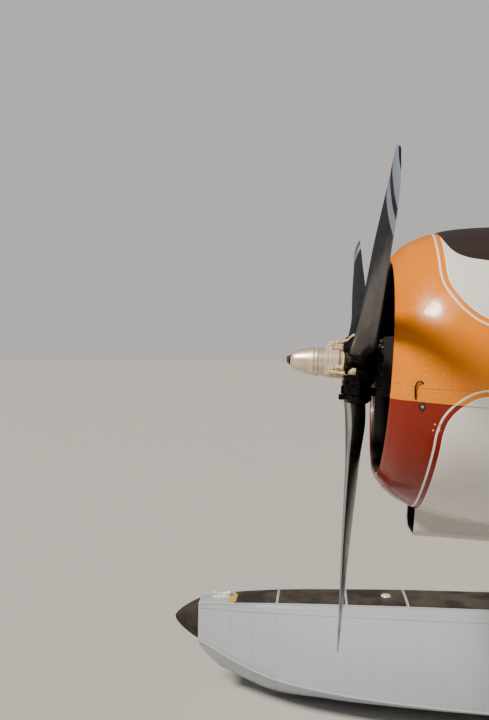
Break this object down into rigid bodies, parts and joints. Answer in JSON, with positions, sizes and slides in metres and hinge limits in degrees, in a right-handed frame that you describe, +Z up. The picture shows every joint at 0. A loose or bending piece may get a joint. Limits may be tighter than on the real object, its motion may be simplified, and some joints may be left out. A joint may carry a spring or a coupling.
{
  "type": "floatplane",
  "caption": "High-wing bush floatplane: radial engine and propeller, hollow cabin with hinged doors, flaps, ailerons, elevators, rudder, twin floats with water rudders.",
  "frame": {"origin": "on the floor under the middle of the aircraft's length and span", "axes": "+Z up, nose towards -Y, tail towards +Y, port side towards +X; the floats stand level and the thrust line points 4 degrees up"},
  "size_m": [14.63, 9.9803, 3.4034],
  "materials": {
    "orange_enamel": "gloss",
    "nose_enamel": "gloss",
    "white_enamel": "gloss",
    "float_metal": "satin",
    "hub_steel": "satin",
    "dome_metal": "satin",
    "blade_metal": "satin",
    "engine_iron": "matte",
    "bumper_rubber": "matte",
    "black_moulding": "matte",
    "seat_cover": "matte",
    "window": "gloss"
  },
  "bodies": {
    "airframe": {"engine": "engine_iron", "cowl_upper": "orange_enamel", "cowl_lower": "orange_enamel", "intake_scoop": "white_enamel", "exhaust_pipe": "engine_iron", "nose_section": "nose_enamel", "cabin_floor": "white_enamel", "cabin_roof": "white_enamel", "cabin_side_port": "white_enamel", "cabin_side_starboard": "white_enamel", "rear_window_port": "window", "rear_window_starboard": "window", "windscreen_frame": "white_enamel", "windscreen_glass": "window", "instrument_panel": "black_moulding", "crew_seat_port": "seat_cover", "crew_seat_starboard": "seat_cover", "cabin_bench": "seat_cover", "rear_fuselage": "white_enamel", "fin": "white_enamel", "ventral_fin": "white_enamel", "tailplane_port": "white_enamel", "tailplane_starboard": "white_enamel", "wing_port": "white_enamel", "wing_starboard": "white_enamel", "wing_strut_port": "white_enamel", "wing_strut_starboard": "white_enamel", "float_port": "float_metal", "float_starboard": "float_metal", "bow_bumper_port": "bumper_rubber", "bow_bumper_starboard": "bumper_rubber", "front_leg_port": "white_enamel", "front_leg_starboard": "white_enamel", "rear_leg_port": "white_enamel", "rear_leg_starboard": "white_enamel", "front_spreader": "white_enamel", "rear_spreader": "white_enamel"},
    "propeller": {"prop_hub": "hub_steel", "prop_dome": "dome_metal", "prop_blade_1": "blade_metal", "prop_blade_2": "blade_metal", "prop_blade_3": "blade_metal"},
    "rudder": {"rudder": "white_enamel"},
    "elevators": {"elevator_port": "white_enamel", "elevator_starboard": "white_enamel"},
    "aileron_port": {"aileron_port": "white_enamel"},
    "aileron_starboard": {"aileron_starboard": "white_enamel"},
    "flap_port": {"flap_port": "white_enamel"},
    "flap_starboard": {"flap_starboard": "white_enamel"},
    "crew_door_port": {"crew_door_port": "white_enamel", "crew_door_glass_port": "window"},
    "crew_door_starboard": {"crew_door_starboard": "white_enamel", "crew_door_glass_starboard": "window"},
    "cabin_door_port": {"cabin_door_port": "white_enamel", "cabin_door_glass_port": "window"},
    "cabin_door_starboard": {"cabin_door_starboard": "white_enamel", "cabin_door_glass_starboard": "window"},
    "water_rudder_port": {"water_rudder_port": "float_metal"},
    "water_rudder_starboard": {"water_rudder_starboard": "float_metal"}
  },
  "joints": [
    {"name": "propeller_spin", "type": "hinge", "parent": "airframe", "child": "propeller", "pos_m": [0, -3.86, 2.215], "axis": [0, -0.9976, 0.0698], "continuous": true},
    {"name": "rudder_turn", "type": "hinge", "parent": "airframe", "child": "rudder", "pos_m": [0, 4.33693, 2.34352], "axis": [0, 0.0698, 0.9976], "range_deg": [-25, 25]},
    {"name": "elevator_tilt", "type": "hinge", "parent": "airframe", "child": "elevators", "pos_m": [0, 4.14053, 2.0866], "axis": [1, 0, 0], "range_deg": [-18, 28]},
    {"name": "aileron_port_tilt", "type": "hinge", "parent": "airframe", "child": "aileron_port", "pos_m": [5.55, -0.48205, 3.14975], "axis": [-0.9994, -0.0024, -0.0348], "range_deg": [-20, 20]},
    {"name": "aileron_starboard_tilt", "type": "hinge", "parent": "airframe", "child": "aileron_starboard", "pos_m": [-5.55, -0.48205, 3.14975], "axis": [-0.9994, 0.0024, 0.0348], "range_deg": [-20, 20]},
    {"name": "flap_port_tilt", "type": "hinge", "parent": "airframe", "child": "flap_port", "pos_m": [2.4, -0.48972, 3.04002], "axis": [-0.9994, -0.0024, -0.0348], "range_deg": [0, 58]},
    {"name": "flap_starboard_tilt", "type": "hinge", "parent": "airframe", "child": "flap_starboard", "pos_m": [-2.4, -0.48972, 3.04002], "axis": [-0.9994, 0.0024, 0.0348], "range_deg": [0, 58]},
    {"name": "crew_door_port_swing", "type": "hinge", "parent": "airframe", "child": "crew_door_port", "pos_m": [0.644, -1.98659, 2.28449], "axis": [0, -0.0698, -0.9976], "range_deg": [0, 85]},
    {"name": "crew_door_starboard_swing", "type": "hinge", "parent": "airframe", "child": "crew_door_starboard", "pos_m": [-0.644, -1.98659, 2.28449], "axis": [0, 0.0698, 0.9976], "range_deg": [0, 85]},
    {"name": "cabin_door_port_swing", "type": "hinge", "parent": "airframe", "child": "cabin_door_port", "pos_m": [0.644, -1.21198, 2.1802], "axis": [0, -0.0698, -0.9976], "range_deg": [0, 85]},
    {"name": "cabin_door_starboard_swing", "type": "hinge", "parent": "airframe", "child": "cabin_door_starboard", "pos_m": [-0.644, -1.21198, 2.1802], "axis": [0, 0.0698, 0.9976], "range_deg": [0, 85]},
    {"name": "water_rudder_port_turn", "type": "hinge", "parent": "airframe", "child": "water_rudder_port", "pos_m": [1.45, 2.454, 0.5], "axis": [0, 0, 1], "range_deg": [-25, 25]},
    {"name": "water_rudder_starboard_turn", "type": "hinge", "parent": "airframe", "child": "water_rudder_starboard", "pos_m": [-1.45, 2.454, 0.5], "axis": [0, 0, 1], "range_deg": [-25, 25]}
  ],
  "couplings": [
    {"joint": "aileron_starboard_tilt", "follows": "aileron_port_tilt", "ratio": -1},
    {"joint": "flap_starboard_tilt", "follows": "flap_port_tilt", "ratio": 1},
    {"joint": "water_rudder_port_turn", "follows": "rudder_turn", "ratio": 1},
    {"joint": "water_rudder_starboard_turn", "follows": "rudder_turn", "ratio": 1}
  ]
}
